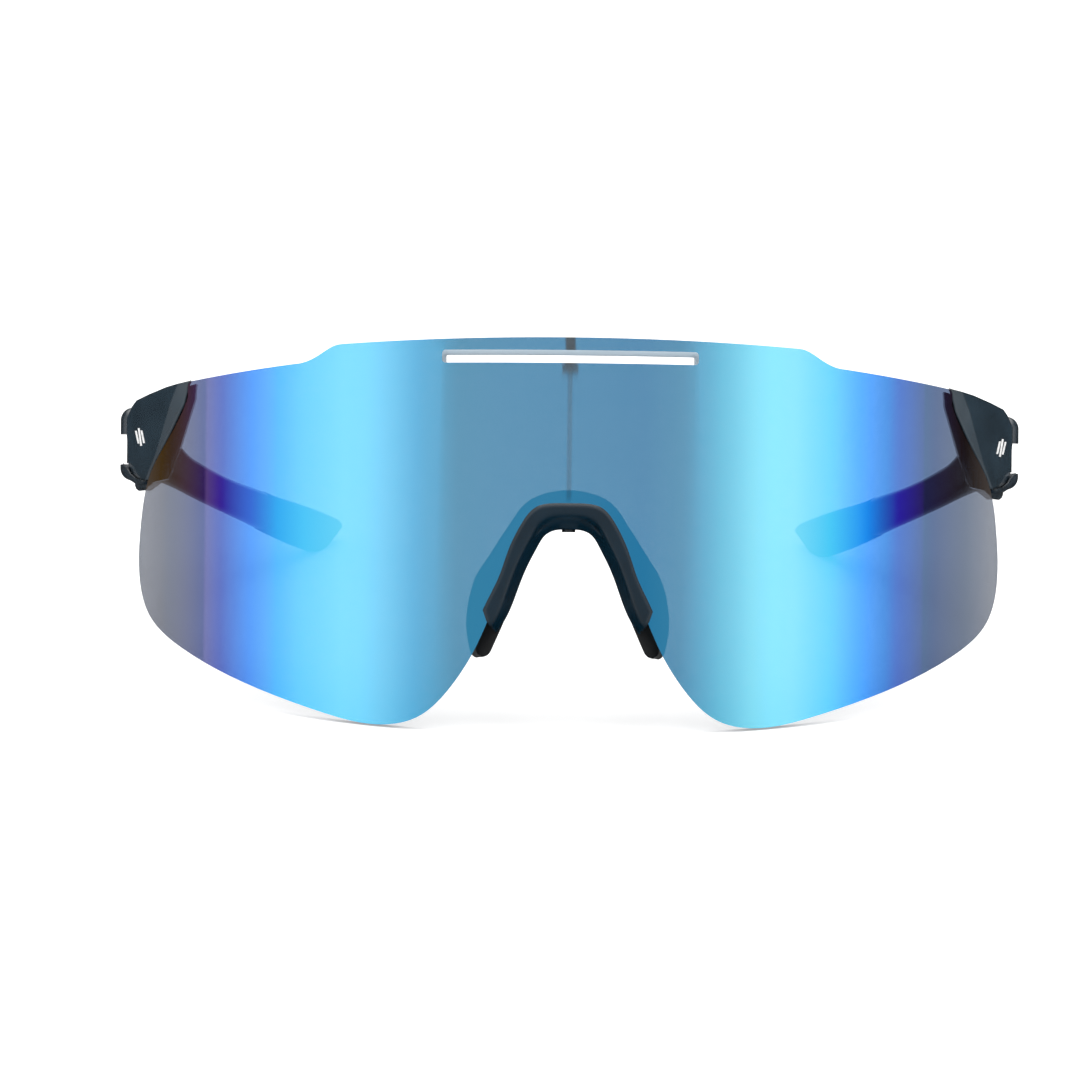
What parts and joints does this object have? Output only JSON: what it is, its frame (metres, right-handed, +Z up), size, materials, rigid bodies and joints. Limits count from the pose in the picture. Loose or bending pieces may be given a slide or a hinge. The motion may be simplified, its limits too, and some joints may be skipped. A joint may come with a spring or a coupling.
{
  "type": "sunglasses",
  "caption": "Wraparound sport sunglasses with a one-piece cylindrical mirrored shield lens, vented brow, soft nose saddle and folding temples with rubber tips.",
  "frame": {"origin": "on the table under the middle of the pair's bounding box, standing open on the two lens lobes and the two temple tips", "axes": "+X to the wearer's left, +Y back along the temples away from the lens, +Z up from the table"},
  "size_m": [0.1534, 0.1666, 0.0605],
  "materials": {
    "mirror_lens": "blue mirror coated, tinted, see-through",
    "gloss_frame": "gloss dark navy",
    "matte_frame": "satin dark navy",
    "temple_plastic": "satin dark navy",
    "soft_rubber": "matte black",
    "steel": "satin",
    "brass": "satin"
  },
  "bodies": {
    "front": {"lens": "mirror_lens", "nose_clip": "gloss_frame", "nose_pad": "soft_rubber", "nose_clip_screw": "steel", "left_end_piece": "matte_frame", "left_end_cover": "gloss_frame", "left_cover_screw": "steel", "right_end_piece": "matte_frame", "right_end_cover": "gloss_frame", "right_cover_screw": "steel"},
    "left_temple": {"left_temple_arm": "temple_plastic", "left_temple_tip": "soft_rubber", "left_tip_core_wire": "steel", "left_hinge_screw": "steel", "left_hinge_insert": "brass"},
    "right_temple": {"right_temple_arm": "temple_plastic", "right_temple_tip": "soft_rubber", "right_tip_core_wire": "steel", "right_hinge_screw": "steel", "right_hinge_insert": "brass"}
  },
  "joints": [
    {"name": "left_hinge", "type": "hinge", "parent": "front", "child": "left_temple", "pos_m": [0.0722, -0.02871, 0.03546], "axis": [0, 0.1754, 0.9845], "range_deg": [0, 92]},
    {"name": "right_hinge", "type": "hinge", "parent": "front", "child": "right_temple", "pos_m": [-0.0722, -0.02871, 0.03546], "axis": [0, -0.1754, -0.9845], "range_deg": [0, 80]}
  ]
}
